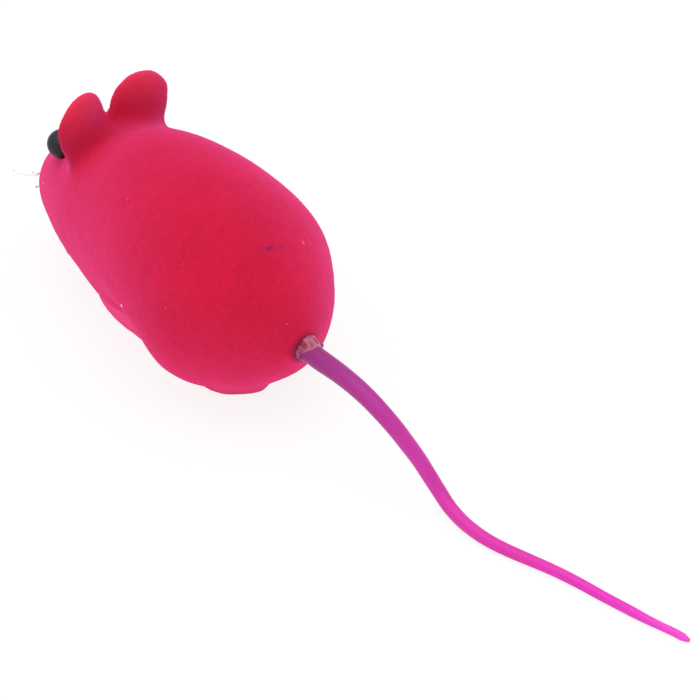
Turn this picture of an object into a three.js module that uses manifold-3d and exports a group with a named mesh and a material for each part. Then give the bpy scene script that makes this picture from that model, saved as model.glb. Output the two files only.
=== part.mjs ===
// Squeaky mouse toy: a hollow flocked vinyl moulding with bead eyes, clear whiskers, a squeaker in its
// base and a soft glued tail. Millimetres, +Z up, the snout points to -Y. The origin lies on the floor
// under the middle of the mouse.

import * as THREE from 'three';
import { mergeVertices } from 'three/addons/utils/BufferGeometryUtils.js';
import Module from 'manifold-3d';

const wasm = await Module();
wasm.setup();

// Driving dimensions of the moulding
const bodyLength = 60;
const bodyWidth = 29.8;
const bodyHeight = 31.4;
const wall = 1.6;

// Gaps between separate pieces, and how far a cutter runs past what it cuts
const gap = 0.3;
const overrun = 1;

// Outline of the moulding from the snout to the tail, as shares of its length, half width and height.
// Every station below is a share of the length, every level of the height, and every side of the half width
const stationShares = [0, 0.013, 0.058, 0.142, 0.25, 0.375, 0.5, 0.633, 0.767, 0.875, 0.95, 0.99, 1];
const halfWidthShares = [0, 0.17, 0.35, 0.51, 0.67, 0.785, 0.895, 0.985, 0.985, 0.745, 0.445, 0.18, 0];
const backShares = [0.312, 0.408, 0.548, 0.7, 0.833, 0.935, 0.995, 1, 0.948, 0.848, 0.706, 0.56, 0.452];
const bellyShares = [0.312, 0.242, 0.176, 0.13, 0.096, 0.062, 0.052, 0.038, 0.042, 0.124, 0.25, 0.37, 0.452];
const widestLevelShare = 0.47;
const bellyRoundness = 0.94;
const bodyRings = 36;
const bodySides = 40;
const cavityRings = 24;
const cavitySides = 28;
const placeHalvings = 24;

// Flat base that the mouse stands on, broadest under the chest. Its outline goes down one side, as shares
// of its half width and of its own length from the front end
const baseHalfWidth = 7.1;
const baseFrontShare = 0.25;
const baseRearShare = 0.836;
const baseSideShares = [0, 0.48, 0.76, 0.89, 0.98, 1, 0.98, 0.97, 0.95, 0.92, 0.89, 0.84, 0.78, 0.57, 0];
const baseAlongShares = [0, 0.02, 0.08, 0.14, 0.23, 0.32, 0.4, 0.47, 0.55, 0.63, 0.73, 0.83, 0.88, 0.94, 1];
const baseOutlineSteps = 56;
const baseThickness = 3.4;
const baseEdgeRadius = 0.5;

// Waist between the forelegs and the haunches, a hollow low on each flank
const waistStationShare = 0.6;
const waistSpan = 4.8;
const waistDepth = 2.8;

// Front paws, two lobes tucked under the cheeks
const pawHalfWidth = 2.4;
const pawHalfLength = 2.6;
const pawHalfHeight = 2.7;
const pawSideShare = 0.282;
const pawStationShare = 0.19;
const pawLevelShare = 0.147;

// Ears: cupped paddles moulded onto the head
const earWidth = 9;
const earHeight = 12.4;
const earThickness = 2.1;
const earCup = 1.1;
const earSideShare = 0.264;
const earStationShare = 0.286;
const earRootLevelShare = 0.692;
const earLean = THREE.MathUtils.degToRad(4);
const earSplay = THREE.MathUtils.degToRad(5);
const earTurn = THREE.MathUtils.degToRad(9);
const earLevelShares = [0, 0.16, 0.295, 0.43, 0.565, 0.7, 0.815, 0.907, 0.97, 1];
const earWidthShares = [0.7, 0.8, 0.92, 0.99, 1, 0.95, 0.81, 0.6, 0.36, 0];
const earOutwardShares = [-0.16, -0.11, -0.06, -0.01, 0.02, 0.05, 0.03, 0.01, 0.01, 0];
const earThicknessShares = [2.1, 2, 1.5, 1.1, 0.95, 0.9, 0.9, 0.86, 0.7, 0];
const earRings = 16;
const earSides = 22;

// Eyes: bead on a peg that snaps behind the wall
const eyeDiameter = 4.2;
const eyeStationShare = 0.182;
const eyeAngle = THREE.MathUtils.degToRad(57.5);
const eyeBackDepth = 0.9;
const eyeSeatDepth = 0.3;
const eyePegDiameter = 1.8;
const eyeSnapDiameter = 3.2;
const eyeSnapLength = 1.4;
const eyeSides = 20;

// Whiskers: nylon strands pushed right through the snout, each free end swept forwards and down
const strandDiameter = 0.4;
const strandStationShares = [0.043, 0.062, 0.047];
const strandLevelShares = [0.395, 0.443, 0.325];
const whiskerLengths = [6, 1.2, 0.6];
const whiskerOutShares = [0.16, 0.27, 0.17];
const whiskerForwardShares = [0.14, 0.5, 0.93];
const whiskerDropShares = [0.02, 0.13, 0.33];
const strandSteps = 44;
const strandSides = 6;
const drillSides = 12;

// Squeaker: snap-in plug with a tube for the reed
const squeakerStationShare = 0.55;
const flangeRadius = 5.2;
const flangeThickness = 0.8;
const plugNeckRadius = 3.9;
const plugBarbRadius = 4.7;
const plugBarbLength = 1.3;
const seatRoom = 0.5;
const tubeRadius = 2.7;
const tubeLength = 6;
const boreRadius = 1.7;
const squeakerSides = 32;

// Reed: a springy strip clamped between a bed and a wedge inside the tube
const reedWidth = 2;
const reedThickness = 0.2;
const bedGrooveWidth = 1.2;
const bedGrooveDepth = 0.6;
const clampLength = 2.4;
const reedEndRoom = 0.5;

// Tail: a barbed root behind the wall, a neck through it, and a long taper that lies on the floor.
// Reaches run back from the moulding's rear end and sides run to the mouse's left
const tailRootDiameter = 2.9;
const tailTipDiameter = 1.3;
const tailTaperPower = 1.6;
const tailRootLevelShare = 0.465;
const tailRootReach = 3;
const tailFlexRadius = 0.3;
const tailFlexLength = 0.6;
const barbRadius = 2.5;
const barbLength = 2.2;
const barbBackset = 3.2;
const tailSides = 8;
const tailSteps = 56;
const tailFallSides = [0, -0.1, -0.1, -0.2, -0.5, -1, -1.6, -2.3, -3.1, -3.7, -4.1, -4.1, -4.1];
const tailFallReaches = [3.3, 6.6, 9, 11.2, 13.4, 15.6, 17.5, 19.2, 20.6, 21.9, 23.4, 25.5, 27.5];
const tailFallLevelShares = [
  1.007, 1.02, 1.027, 1.014, 0.966, 0.877, 0.767, 0.63, 0.48, 0.336, 0.212, 0.127, 0.085,
];
const tailLieSides = [-4.1, -4.4, -5.2, -6.4, -7.6, -8.6, -9.4, -10.3, -11.2, -12.2, -12.7];
const tailLieReaches = [30, 32.9, 36, 39.4, 42.8, 46.4, 50, 53.7, 57.3, 60.6, 62.9];

// Glue: a film of clear glue run round the tail's root
const glueRadius = 2.9;
const glueLipRadius = 2.1;
const glueReach = 1.7;
const glueSides = 24;

// Turns a closed three.js geometry into a solid that can be joined and cut
function solidOf(geometry) {
  const plain = geometry.index ? geometry.toNonIndexed() : geometry.clone();
  plain.deleteAttribute('normal');
  plain.deleteAttribute('uv');
  const merged = mergeVertices(plain);
  const vertProperties = new Float32Array(merged.attributes.position.array);
  const triVerts = new Uint32Array(merged.index.array);
  return new wasm.Manifold(new wasm.Mesh({ numProp: 3, vertProperties, triVerts }));
}

// Gives a solid back as a three.js geometry
function geometryOf(solid) {
  const mesh = solid.getMesh();
  const geometry = new THREE.BufferGeometry();
  geometry.setAttribute('position', new THREE.BufferAttribute(new Float32Array(mesh.vertProperties), 3));
  geometry.setIndex(new THREE.BufferAttribute(new Uint32Array(mesh.triVerts), 1));
  geometry.computeVertexNormals();
  return geometry;
}

// A closed skin over rings of points that run along the piece, each end drawn to one point
function loft(rings, startPoint, endPoint) {
  const sides = rings[0].length;
  const points = [startPoint, ...rings.flat(), endPoint];
  const last = points.length - 1;
  const triangles = [];
  for (let side = 0; side < sides; side += 1) {
    const next = (side + 1) % sides;
    triangles.push(0, 1 + side, 1 + next);
    for (let ring = 0; ring < rings.length - 1; ring += 1) {
      const here = 1 + ring * sides;
      const there = here + sides;
      triangles.push(here + side, there + side, there + next);
      triangles.push(here + side, there + next, here + next);
    }
    triangles.push(last, last - sides + next, last - sides + side);
  }
  const geometry = new THREE.BufferGeometry().setFromPoints(points);
  geometry.setIndex(triangles);
  geometry.computeVertexNormals();
  return geometry;
}

// A straight round cutter or bar from one point to another
function barBetween(radius, start, end, sides) {
  const direction = new THREE.Vector3().subVectors(end, start);
  const geometry = new THREE.CylinderGeometry(radius, radius, direction.length(), sides);
  const upright = new THREE.Vector3(0, 1, 0);
  geometry.applyQuaternion(new THREE.Quaternion().setFromUnitVectors(upright, direction.clone().normalize()));
  geometry.translate(...new THREE.Vector3().addVectors(start, end).multiplyScalar(1 / 2).toArray());
  return geometry;
}

// The place along the mouse that a share of its length gives
function stationAt(share) {
  return (share - 1 / 2) * bodyLength;
}

// One line of the moulding's outline, through its shares of a full size
function outlineCurve(shares, fullSize) {
  const points = shares.map((share, index) => new THREE.Vector2(stationShares[index], share * fullSize));
  return new THREE.SplineCurve(points);
}

const halfWidthCurve = outlineCurve(halfWidthShares, bodyWidth / 2);
const backCurve = outlineCurve(backShares, bodyHeight);
const bellyCurve = outlineCurve(bellyShares, bodyHeight);

// A point on the moulding: oval cross-sections whose widest level lies a little below their middle, a
// little fuller than an ellipse under that level
function mouldingPoint(along, angle) {
  const width = halfWidthCurve.getPoint(along);
  const back = backCurve.getPoint(along).y;
  const belly = bellyCurve.getPoint(along).y;
  const middle = belly + widestLevelShare * (back - belly);
  const under = Math.max(0, -Math.sin(angle));
  const rise = under > 0 ? middle - belly : back - middle;
  const power = under > 0 ? bellyRoundness : 1;
  const station = stationAt(width.x);
  const lowFlank = (4 * under * (1 - under)) ** 2;
  const offWaist = (station - stationAt(waistStationShare)) / waistSpan;
  const hollow = waistDepth * lowFlank * Math.exp(-(offWaist ** 2));
  const across = Math.sign(Math.cos(angle)) * Math.abs(Math.cos(angle)) ** power;
  const upward = Math.sign(Math.sin(angle)) * Math.abs(Math.sin(angle)) ** power;
  return new THREE.Vector3((width.y - hollow) * across, station, middle + (rise - hollow) * upward);
}

// The moulding's skin, grown outwards along its own normals by the given amount, or inwards
function mouldingSkin(growth, ringCount, sideCount) {
  const rings = [];
  for (let ring = 1; ring < ringCount; ring += 1) {
    const points = [];
    for (let side = 0; side < sideCount; side += 1) {
      points.push(mouldingPoint(ring / ringCount, (side / sideCount) * 2 * Math.PI));
    }
    rings.push(points);
  }
  const skin = loft(rings, mouldingPoint(0, 0), mouldingPoint(1, 0));
  const { position, normal } = skin.attributes;
  for (let index = 0; index < position.count; index += 1) {
    const moved = new THREE.Vector3().fromBufferAttribute(position, index);
    moved.addScaledVector(new THREE.Vector3().fromBufferAttribute(normal, index), growth);
    position.setXYZ(index, moved.x, moved.y, moved.z);
  }
  return skin;
}

// The base: a long oval slab with upright sides and a rounded lower edge
function baseSlab() {
  const front = stationAt(baseFrontShare);
  const length = stationAt(baseRearShare) - front;
  const left = baseSideShares.map((sideShare, index) => (
    new THREE.Vector3(sideShare * baseHalfWidth, front + baseAlongShares[index] * length, 0)
  ));
  const right = left.slice(1, -1).map((point) => new THREE.Vector3(-point.x, point.y, 0)).reverse();
  const loop = new THREE.CatmullRomCurve3([...left, ...right], true, 'catmullrom', 1 / 2);
  const loopPoints = loop.getPoints(baseOutlineSteps).slice(1);
  const outline = loopPoints.map((point) => new THREE.Vector2(point.x, point.y));
  const slab = new THREE.ExtrudeGeometry(new THREE.Shape(outline), {
    depth: baseThickness,
    bevelSize: baseEdgeRadius,
    bevelOffset: -baseEdgeRadius,
    bevelThickness: baseEdgeRadius,
    bevelSegments: 2,
  });
  slab.translate(0, 0, baseEdgeRadius);
  return slab;
}

// A front paw: an egg-shaped lobe
function pawLobe(side) {
  const lobe = new THREE.SphereGeometry(1, 16, 12);
  lobe.scale(pawHalfWidth, pawHalfLength, pawHalfHeight);
  const out = (pawSideShare * bodyWidth) / 2;
  lobe.translate(side * out, stationAt(pawStationShare), pawLevelShare * bodyHeight);
  return lobe;
}

// An ear: oval sections stacked from the root inside the head up to the tip, bent so that the front
// is hollow. The root is set in towards the middle of the head
function earPaddle(side) {
  const toCurve = (shares, fullSize) => new THREE.SplineCurve(
    shares.map((share, index) => new THREE.Vector2(earLevelShares[index] * earHeight, share * fullSize)),
  );
  const widthCurve = toCurve(earWidthShares, earWidth / 2);
  const outwardCurve = toCurve(earOutwardShares, earWidth / 2);
  const thicknessCurve = toCurve(earThicknessShares, earThickness / 2);
  const ringAt = (along) => {
    const width = widthCurve.getPoint(along);
    const outward = outwardCurve.getPoint(along).y;
    const thickness = thicknessCurve.getPoint(along).y;
    const points = [];
    for (let step = 0; step < earSides; step += 1) {
      const angle = (step / earSides) * 2 * Math.PI;
      const cupping = earCup * Math.cos(angle) ** 2 * (width.y / (earWidth / 2)) ** 2;
      points.push(new THREE.Vector3(
        side * outward + width.y * Math.cos(angle),
        thickness * Math.sin(angle) - cupping,
        width.x,
      ));
    }
    return points;
  };
  const rings = [];
  for (let ring = 0; ring < earRings; ring += 1) {
    rings.push(ringAt(ring / earRings));
  }
  const paddle = loft(rings, new THREE.Vector3(), new THREE.Vector3(0, 0, earHeight));
  paddle.index.array.reverse();
  paddle.rotateX(earLean);
  paddle.rotateY(side * earSplay);
  paddle.rotateZ(side * earTurn);
  const out = (earSideShare * bodyWidth) / 2;
  paddle.translate(side * out, stationAt(earStationShare), earRootLevelShare * bodyHeight);
  return paddle;
}

// Where an eye sits: its place on the moulding, with the direction that points straight out there
function eyeSeat(side) {
  const angle = side > 0 ? eyeAngle : Math.PI - eyeAngle;
  const step = 0.01;
  const point = mouldingPoint(eyeStationPlace, angle);
  const alongBody = mouldingPoint(eyeStationPlace + step, angle).sub(point);
  const roundBody = mouldingPoint(eyeStationPlace, angle + step).sub(point);
  const outward = new THREE.Vector3().crossVectors(alongBody, roundBody).normalize();
  return { point, outward };
}

// The place on the outline curves at which the moulding reaches a share of its length
function placeOfShare(share) {
  let low = 0;
  let high = 1;
  for (let halving = 0; halving < placeHalvings; halving += 1) {
    const middle = (low + high) / 2;
    if (halfWidthCurve.getPoint(middle).x < share) {
      low = middle;
    } else {
      high = middle;
    }
  }
  return low;
}

const eyeStationPlace = placeOfShare(eyeStationShare);

// An eye bead with its peg and snap end, revolved about the peg
function eyeBead(side) {
  const radius = eyeDiameter / 2;
  const backRadius = Math.sqrt(radius ** 2 - eyeBackDepth ** 2);
  const pegRadius = eyePegDiameter / 2;
  const snapTop = -wall - gap;
  const profile = [new THREE.Vector2(0, snapTop - eyeSnapLength)];
  profile.push(new THREE.Vector2(pegRadius, snapTop - eyeSnapLength));
  profile.push(new THREE.Vector2(eyeSnapDiameter / 2, snapTop - eyeSnapLength / 3));
  profile.push(new THREE.Vector2(eyeSnapDiameter / 2, snapTop));
  profile.push(new THREE.Vector2(pegRadius, snapTop));
  profile.push(new THREE.Vector2(pegRadius, 0));
  const startAngle = -Math.atan2(eyeBackDepth, backRadius);
  const arcSteps = 12;
  for (let step = 0; step < arcSteps; step += 1) {
    const angle = startAngle + (step / arcSteps) * (Math.PI / 2 - startAngle);
    profile.push(new THREE.Vector2(radius * Math.cos(angle), eyeBackDepth + radius * Math.sin(angle)));
  }
  profile.push(new THREE.Vector2(0, eyeBackDepth + radius));
  const bead = new THREE.LatheGeometry(profile, eyeSides);
  const { point, outward } = eyeSeat(side);
  bead.applyQuaternion(new THREE.Quaternion().setFromUnitVectors(new THREE.Vector3(0, 1, 0), outward));
  bead.translate(point.x, point.y, point.z);
  return bead;
}

// Cutters for an eye: a flat seat for the bead's back and a hole for its peg
function eyeCutters(side) {
  const { point, outward } = eyeSeat(side);
  const at = (height) => point.clone().addScaledVector(outward, height);
  const seat = barBetween(eyeDiameter / 2 + gap, at(-eyeSeatDepth), at(eyeDiameter), eyeSides);
  const hole = barBetween(eyePegDiameter / 2 + gap, at(-wall - overrun), at(overrun), eyeSides);
  return [seat, hole];
}

// The centre line of one whisker strand: straight through the snout, then swept forwards and down
function strandCurve(index) {
  const station = stationAt(strandStationShares[index]);
  const level = strandLevelShares[index] * bodyHeight;
  const exit = snoutHalfWidth(strandStationShares[index], level) + strandDiameter;
  const half = [new THREE.Vector3(exit / 2, station, level), new THREE.Vector3(exit, station, level)];
  whiskerOutShares.forEach((outShare, step) => half.push(new THREE.Vector3(
    exit + outShare * whiskerLengths[index],
    station - whiskerForwardShares[step] * whiskerLengths[index],
    level - whiskerDropShares[step] * whiskerLengths[index],
  )));
  const mirrored = half.map((point) => new THREE.Vector3(-point.x, point.y, point.z)).reverse();
  return new THREE.CatmullRomCurve3([...mirrored, ...half]);
}

// Half the moulding's width at a share of its length and a level
function snoutHalfWidth(stationShare, level) {
  const along = placeOfShare(stationShare);
  const back = backCurve.getPoint(along).y;
  const belly = bellyCurve.getPoint(along).y;
  const middle = belly + widestLevelShare * (back - belly);
  const rise = level > middle ? back - middle : middle - belly;
  return halfWidthCurve.getPoint(along).y * Math.sqrt(1 - ((level - middle) / rise) ** 2);
}

// A round rod along a curve, its radius given by a function of the share of its length
function rodAlong(curve, steps, sides, radiusAt) {
  const frames = curve.computeFrenetFrames(steps, false);
  const rings = [];
  for (let step = 0; step <= steps; step += 1) {
    const share = step / steps;
    const centre = curve.getPointAt(share);
    const points = [];
    for (let side = 0; side < sides; side += 1) {
      const angle = (side / sides) * 2 * Math.PI;
      const point = centre.clone();
      point.addScaledVector(frames.normals[step], radiusAt(share) * Math.cos(angle));
      point.addScaledVector(frames.binormals[step], radiusAt(share) * Math.sin(angle));
      points.push(point);
    }
    rings.push(points);
  }
  const rod = loft(rings, curve.getPointAt(0), curve.getPointAt(1));
  rod.index.array.reverse();
  return rod;
}

// Levels of the squeaker, from the floor up
const flangeBottom = gap;
const flangeTop = flangeBottom + flangeThickness;
const seatLevel = flangeTop + gap;
const innerSeatLevel = seatLevel + wall;
const barbLevel = innerSeatLevel + gap;
const tubeBottom = barbLevel + plugBarbLength;
const tubeTop = tubeBottom + tubeLength;

// The squeaker's plug: outer flange, neck through the wall, snap barb and open tube, in one revolve
function squeakerPlug() {
  const profile = [
    new THREE.Vector2(boreRadius, flangeBottom),
    new THREE.Vector2(flangeRadius, flangeBottom),
    new THREE.Vector2(flangeRadius, flangeTop),
    new THREE.Vector2(plugNeckRadius, flangeTop),
    new THREE.Vector2(plugNeckRadius, barbLevel),
    new THREE.Vector2(plugBarbRadius, barbLevel),
    new THREE.Vector2(plugNeckRadius, tubeBottom),
    new THREE.Vector2(tubeRadius, tubeBottom),
    new THREE.Vector2(tubeRadius, tubeTop),
    new THREE.Vector2(boreRadius, tubeTop),
    new THREE.Vector2(boreRadius, flangeBottom),
  ];
  return uprightRevolve(profile, squeakerSides);
}

// A profile of radius and height revolved about +Z
function uprightRevolve(profile, sides) {
  const geometry = new THREE.LatheGeometry(profile, sides);
  geometry.rotateX(Math.PI / 2);
  return geometry;
}

// The round hole in the base for the squeaker, with a flat recess outside and a flat seat inside
function squeakerCutters() {
  const at = (level) => new THREE.Vector3(0, stationAt(squeakerStationShare), level);
  const recess = barBetween(flangeRadius + gap, at(-overrun), at(seatLevel), squeakerSides);
  const hole = barBetween(plugNeckRadius + gap, at(0), at(barbLevel), squeakerSides);
  const innerSeat = barBetween(
    plugBarbRadius + seatRoom, at(innerSeatLevel), at(tubeBottom + overrun), squeakerSides,
  );
  return [recess, hole, innerSeat];
}

// Half of the round rod that fills the squeaker's bore, its flat face a set distance off the middle
function halfRod(bottom, top, side) {
  const radius = boreRadius - gap;
  const faceOffset = reedThickness / 2 + gap;
  const startAngle = Math.asin(faceOffset / radius);
  const outline = new THREE.Shape();
  outline.absarc(0, 0, radius, startAngle, Math.PI - startAngle);
  outline.closePath();
  const depth = top - bottom;
  const rod = new THREE.ExtrudeGeometry(outline, { depth, bevelEnabled: false, curveSegments: 14 });
  if (side < 0) {
    rod.rotateZ(Math.PI);
  }
  rod.translate(0, 0, bottom);
  return rod;
}

// The reed's bed: a half rod with an air groove that stops short of the clamped end
function reedBed() {
  const grooveTop = tubeTop - clampLength;
  const groove = new THREE.BoxGeometry(bedGrooveWidth, bedGrooveDepth + gap, grooveTop - flangeTop + overrun);
  const grooveFace = -reedThickness / 2 - gap;
  groove.translate(
    0,
    grooveFace - bedGrooveDepth / 2 + gap / 2,
    (grooveTop + flangeTop - overrun) / 2,
  );
  return geometryOf(solidOf(halfRod(flangeTop, tubeTop, -1)).subtract(solidOf(groove)));
}

// The reed: a thin straight strip, free below the clamp
function reedStrip() {
  const bottom = flangeTop + reedEndRoom;
  const strip = new THREE.BoxGeometry(reedWidth, reedThickness, tubeTop - bottom);
  strip.translate(0, 0, (tubeTop + bottom) / 2);
  return strip;
}

const tailRootLevel = tailRootLevelShare * bodyHeight;

// The tail's root piece: barb inside the shell, neck through the wall, and a blunt cone at its flex point
function tailRootPiece() {
  const rear = bodyLength / 2;
  const neckRadius = tailRootDiameter / 2;
  const barbFace = rear - barbBackset;
  const profile = [
    new THREE.Vector2(0, barbFace - barbLength),
    new THREE.Vector2(neckRadius / 2, barbFace - barbLength),
    new THREE.Vector2(barbRadius, barbFace),
    new THREE.Vector2(neckRadius, barbFace),
    new THREE.Vector2(neckRadius, rear + tailRootReach - tailFlexLength),
    new THREE.Vector2(tailFlexRadius, rear + tailRootReach),
    new THREE.Vector2(0, rear + tailRootReach),
  ];
  const piece = new THREE.LatheGeometry(profile, glueSides);
  piece.translate(0, 0, tailRootLevel);
  return piece;
}

// The hole in the shell that the tail's neck passes through
function tailCutter() {
  const rear = bodyLength / 2;
  const start = new THREE.Vector3(0, rear - barbBackset, tailRootLevel);
  const end = new THREE.Vector3(0, rear + overrun, tailRootLevel);
  return barBetween(tailRootDiameter / 2 + gap, start, end, glueSides);
}

// The glue film: a skirt round the neck, cut to lie just off the moulding
function glueFilm() {
  const rear = bodyLength / 2;
  const innerRadius = tailRootDiameter / 2 + gap;
  const profile = [
    new THREE.Vector2(innerRadius, rear - glueRadius),
    new THREE.Vector2(glueRadius, rear - glueRadius),
    new THREE.Vector2(glueRadius, rear - glueReach / 2),
    new THREE.Vector2(glueLipRadius, rear + glueReach),
    new THREE.Vector2(innerRadius, rear + glueReach),
    new THREE.Vector2(innerRadius, rear - glueRadius),
  ];
  const skirt = new THREE.LatheGeometry(profile, glueSides);
  skirt.translate(0, 0, tailRootLevel);
  return geometryOf(solidOf(skirt).subtract(solidOf(mouldingSkin(gap, bodyRings, bodySides))));
}

// The tail's radius at a share of its free length
function tailRadius(share) {
  const swell = (tailRootDiameter - tailTipDiameter) * (1 - share) ** tailTaperPower;
  return (tailTipDiameter + swell) / 2;
}

// The tail's centre line: it falls to the floor, and from there each point lies its own radius above it
function tailCurve() {
  const rear = bodyLength / 2;
  const falling = tailFallReaches.map((reach, index) => (
    new THREE.Vector3(tailFallSides[index], rear + reach, tailFallLevelShares[index] * tailRootLevel)
  ));
  const lying = tailLieReaches.map((reach, index) => (
    new THREE.Vector3(tailLieSides[index], rear + reach, tailRadius(1))
  ));
  const points = [...falling, ...lying];
  const travelled = [0];
  for (let index = 1; index < points.length; index += 1) {
    travelled.push(travelled[index - 1] + points[index].distanceTo(points[index - 1]));
  }
  lying.forEach((point, index) => {
    point.z = tailRadius(travelled[falling.length + index] / travelled.at(-1));
  });
  return new THREE.CatmullRomCurve3(points);
}

// The free tail: from the flex point it swells to full thickness, then tapers to the tip
function tailTaper() {
  const curve = tailCurve();
  const flexShare = tailFlexLength / curve.getLength();
  const radiusAt = (share) => {
    const plain = tailRadius(share);
    return Math.min(plain, tailFlexRadius + (plain - tailFlexRadius) * (share / flexShare));
  };
  return rodAlong(curve, tailSteps, tailSides, radiusAt);
}

// The shell: skin, base, paws and ears in one moulding, hollowed, and cut for all that passes through it
function bodyShell() {
  const sides = [1, -1];
  let shell = solidOf(mouldingSkin(0, bodyRings, bodySides));
  const lobes = [baseSlab(), ...sides.map(pawLobe), ...sides.map(earPaddle)];
  for (const lobe of lobes) {
    shell = shell.add(solidOf(lobe));
  }
  const cavity = mouldingSkin(-wall, cavityRings, cavitySides);
  const strandHoles = strandStationShares.map((share, index) => {
    const level = strandLevelShares[index] * bodyHeight;
    const right = new THREE.Vector3(-bodyWidth / 2, stationAt(share), level);
    const left = new THREE.Vector3(bodyWidth / 2, stationAt(share), level);
    return barBetween(strandDiameter / 2 + gap, right, left, drillSides);
  });
  const cutters = [cavity, ...squeakerCutters(), ...sides.flatMap(eyeCutters), tailCutter()];
  for (const cutter of [...cutters, ...strandHoles]) {
    shell = shell.subtract(solidOf(cutter));
  }
  return geometryOf(shell);
}

// Materials, one for each kind of stuff
const flockedVinyl = new THREE.MeshStandardMaterial({ color: 0xd8234a, roughness: 0.95, metalness: 0 });
const blackPlastic = new THREE.MeshStandardMaterial({ color: 0x2c2e30, roughness: 0.45, metalness: 0 });
const clearNylon = new THREE.MeshStandardMaterial({ color: 0xd8d6d2, roughness: 0.3, metalness: 0 });
const whitePlastic = new THREE.MeshStandardMaterial({ color: 0xeeece6, roughness: 0.4, metalness: 0 });
const softTail = new THREE.MeshStandardMaterial({ color: 0xcf3aa6, roughness: 0.4, metalness: 0 });
const driedGlue = new THREE.MeshStandardMaterial({ color: 0xb87a86, roughness: 0.35, metalness: 0 });

function piece(name, geometry, material) {
  const mesh = new THREE.Mesh(geometry, material);
  mesh.name = name;
  return mesh;
}

// Assembly
const mouse = new THREE.Group();
mouse.add(piece('body_shell', bodyShell(), flockedVinyl));
mouse.add(piece('eye_left', eyeBead(1), blackPlastic));
mouse.add(piece('eye_right', eyeBead(-1), blackPlastic));
whiskerLengths.forEach((length, index) => {
  const strand = rodAlong(strandCurve(index), strandSteps, strandSides, () => strandDiameter / 2);
  mouse.add(piece(`whisker_${index + 1}`, strand, clearNylon));
});

const squeaker = new THREE.Group();
squeaker.position.y = stationAt(squeakerStationShare);
squeaker.add(piece('squeaker_plug', squeakerPlug(), whitePlastic));
squeaker.add(piece('reed_bed', reedBed(), whitePlastic));
squeaker.add(piece('reed', reedStrip(), clearNylon));
squeaker.add(piece('reed_wedge', halfRod(tubeTop - clampLength, tubeTop, 1), whitePlastic));
mouse.add(squeaker);

mouse.add(piece('tail_plug', tailRootPiece(), softTail));
mouse.add(piece('tail_glue', glueFilm(), driedGlue));
mouse.add(piece('tail', tailTaper(), softTail));

export default mouse;
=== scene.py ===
import bpy
import numpy as np
from mathutils import Matrix


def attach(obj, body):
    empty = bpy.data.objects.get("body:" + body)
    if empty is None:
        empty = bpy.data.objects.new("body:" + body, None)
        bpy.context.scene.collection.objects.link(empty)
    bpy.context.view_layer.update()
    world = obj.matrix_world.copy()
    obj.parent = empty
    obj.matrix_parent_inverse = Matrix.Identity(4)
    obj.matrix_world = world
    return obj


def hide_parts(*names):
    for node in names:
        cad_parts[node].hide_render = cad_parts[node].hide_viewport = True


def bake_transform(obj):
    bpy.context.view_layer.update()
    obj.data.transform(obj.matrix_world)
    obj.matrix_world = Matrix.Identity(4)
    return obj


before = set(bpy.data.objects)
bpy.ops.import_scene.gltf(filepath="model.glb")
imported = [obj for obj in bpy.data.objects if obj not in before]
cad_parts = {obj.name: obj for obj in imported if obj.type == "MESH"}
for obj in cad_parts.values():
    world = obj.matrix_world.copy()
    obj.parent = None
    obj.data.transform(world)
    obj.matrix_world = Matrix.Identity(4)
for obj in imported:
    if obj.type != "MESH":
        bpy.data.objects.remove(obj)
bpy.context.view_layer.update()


# Camera: stands behind the mouse on its left side and looks down on its back with a long lens, so that
# the snout points away to the upper left and the tail runs off to the lower right.
camera_place = np.array([0.18693, 0.27316, 0.27370])
camera_azimuth = np.radians(141.32)
camera_elevation = np.radians(40.23)
camera_data = bpy.data.cameras.new("camera")
camera_data.sensor_width = 36
camera_data.lens = 153.18
camera = bpy.data.objects.new("camera", camera_data)
bpy.context.scene.collection.objects.link(camera)
camera_back = np.array([
    np.sin(camera_azimuth) * np.cos(camera_elevation),
    -np.cos(camera_azimuth) * np.cos(camera_elevation),
    np.sin(camera_elevation),
])
camera_right = np.array([np.cos(camera_azimuth), np.sin(camera_azimuth), 0])
camera_up = np.cross(camera_back, camera_right)
camera_axes = np.eye(4)
camera_axes[:3] = np.stack([camera_right, camera_up, camera_back, camera_place], 1)
camera.matrix_world = Matrix(camera_axes.tolist())
bpy.context.scene.camera = camera
bpy.context.scene.view_settings.view_transform = "Standard"


# Tail: one soft clear-magenta vinyl taper, moulded solid. Its barbed root is pushed through the hole in
# the rear of the body, it leaves level, falls to the floor in its own weight and lies there in a bend.
# The far end was cut off by hand, a little ragged.
tail_route = 0.001 * np.array([
    [0, 24.6, 14.6], [0, 25.6, 14.6], [0, 26.8, 14.6], [0, 28.4, 14.6], [0, 30, 14.6], [0, 31.6, 14.62],
    [0, 33.3, 14.7], [-0.1, 36.6, 14.89], [-0.1, 39, 14.99], [-0.2, 41.2, 14.8], [-0.5, 43.4, 14.1],
    [-1, 45.6, 12.8], [-1.6, 47.5, 11.2], [-2.3, 49.2, 9.2], [-3.1, 50.6, 7.01], [-3.7, 51.9, 4.91],
    [-4.1, 53.4, 3.1], [-4.1, 55.5, 1.85], [-4.1, 57.5, 1.24], [-4.1, 60, 1.07], [-4.4, 62.9, 1.01],
    [-5.2, 66, 0.95], [-6.4, 69.4, 0.9], [-7.6, 72.8, 0.84], [-8.6, 76.4, 0.79], [-9.4, 80, 0.75],
    [-10.3, 83.7, 0.71], [-11.2, 87.3, 0.68], [-12.2, 90.6, 0.66], [-12.7, 92.9, 0.65],
])
tail_root_diameter = 0.0029
tail_tip_diameter = 0.0013
tail_barb_radius = 0.0025
tail_barb_length = 0.0022
tail_free_start = 0.0333
tail_taper_power = 1.6
tail_thin_share = 0.15
tail_thin_stretch = 0.0085
tail_thin_ease = 0.004
tail_nib_length = 0.0016
tail_colour_start = 0.006
tail_rings = 420
tail_sides = 40


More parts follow.
